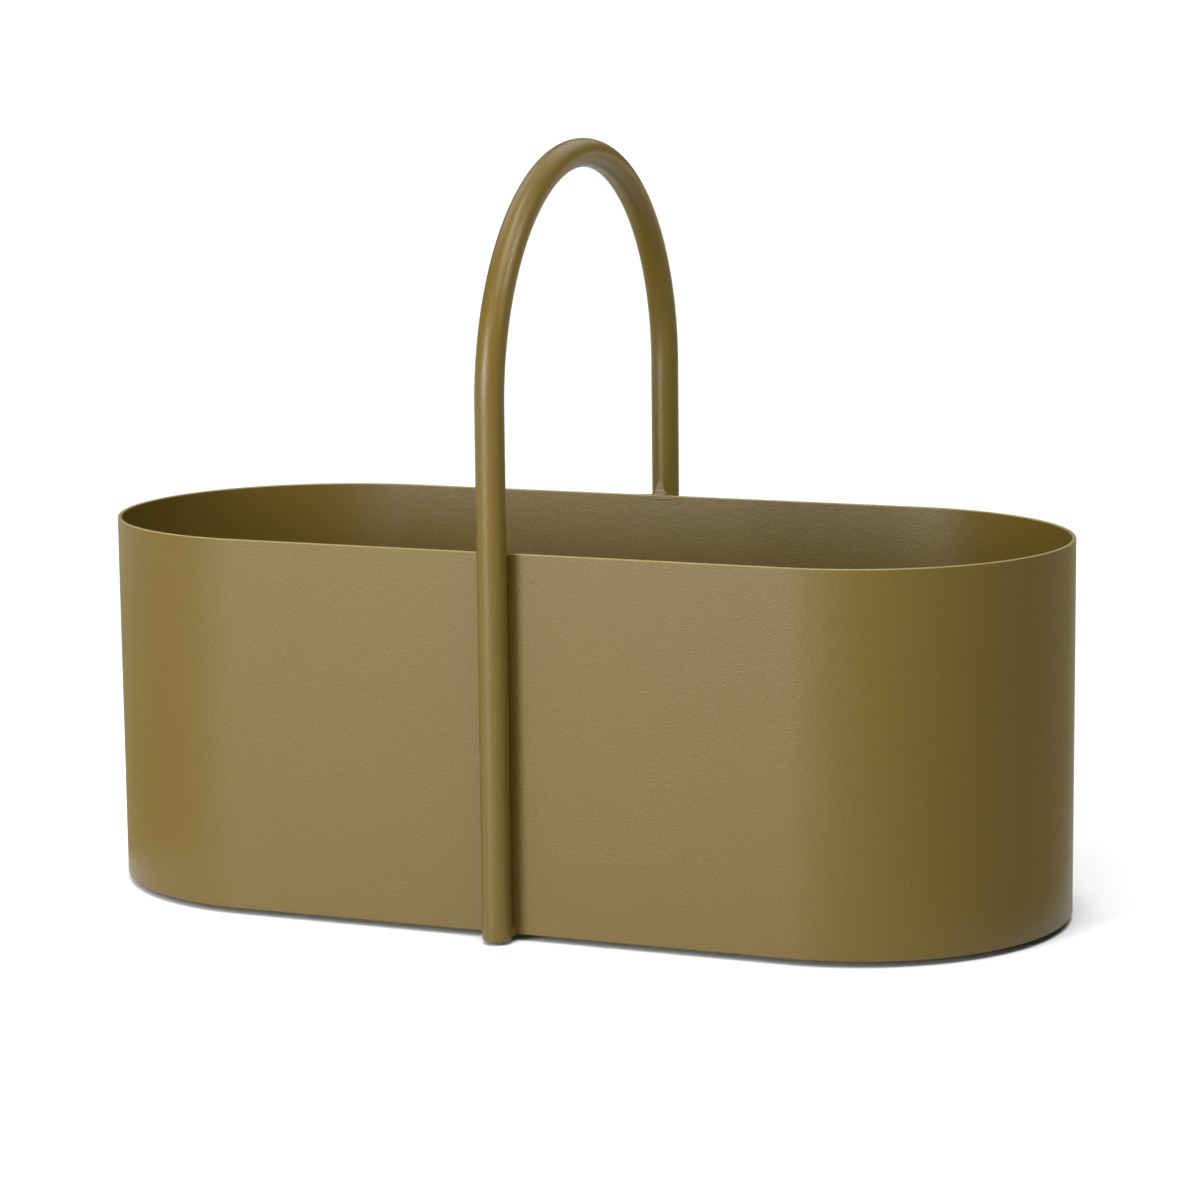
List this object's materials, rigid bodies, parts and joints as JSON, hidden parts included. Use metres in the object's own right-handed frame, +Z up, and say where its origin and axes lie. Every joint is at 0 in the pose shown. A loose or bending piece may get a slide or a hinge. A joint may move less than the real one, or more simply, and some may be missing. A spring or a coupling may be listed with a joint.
{
  "type": "toolbox",
  "caption": "Open-top carrying box of coated sheet steel with straight long walls, half-round ends, a flat floor on small pads and a fixed arched tube handle across the middle.",
  "frame": {"origin": "on the ground under the middle of the box, at the height of the pads' soles", "axes": "+X along the box's length, +Y to the rear long wall, +Z up; the front long wall faces -Y"},
  "size_m": [0.35, 0.1706, 0.266],
  "materials": {
    "coated_steel": "olive-brown powder coat, satin, fine orange-peel grain",
    "pad_rubber": "matt black"
  },
  "bodies": {
    "root": {"wall_band": "coated_steel", "wall_seam_weld": "coated_steel", "floor_plate": "coated_steel", "floor_weld_front_1": "coated_steel", "floor_weld_front_2": "coated_steel", "floor_weld_front_3": "coated_steel", "floor_weld_rear_1": "coated_steel", "floor_weld_rear_2": "coated_steel", "floor_weld_rear_3": "coated_steel", "floor_weld_left_end": "coated_steel", "floor_weld_right_end": "coated_steel", "foot_pad_front_left": "pad_rubber", "foot_pad_rear_left": "pad_rubber", "foot_pad_front_right": "pad_rubber", "foot_pad_rear_right": "pad_rubber", "handle_tube": "coated_steel", "front_end_plug": "coated_steel", "front_rim_weld": "coated_steel", "front_foot_tack_1": "coated_steel", "front_foot_tack_2": "coated_steel", "rear_end_plug": "coated_steel", "rear_rim_weld": "coated_steel", "rear_foot_tack_1": "coated_steel", "rear_foot_tack_2": "coated_steel"}
  },
  "joints": []
}
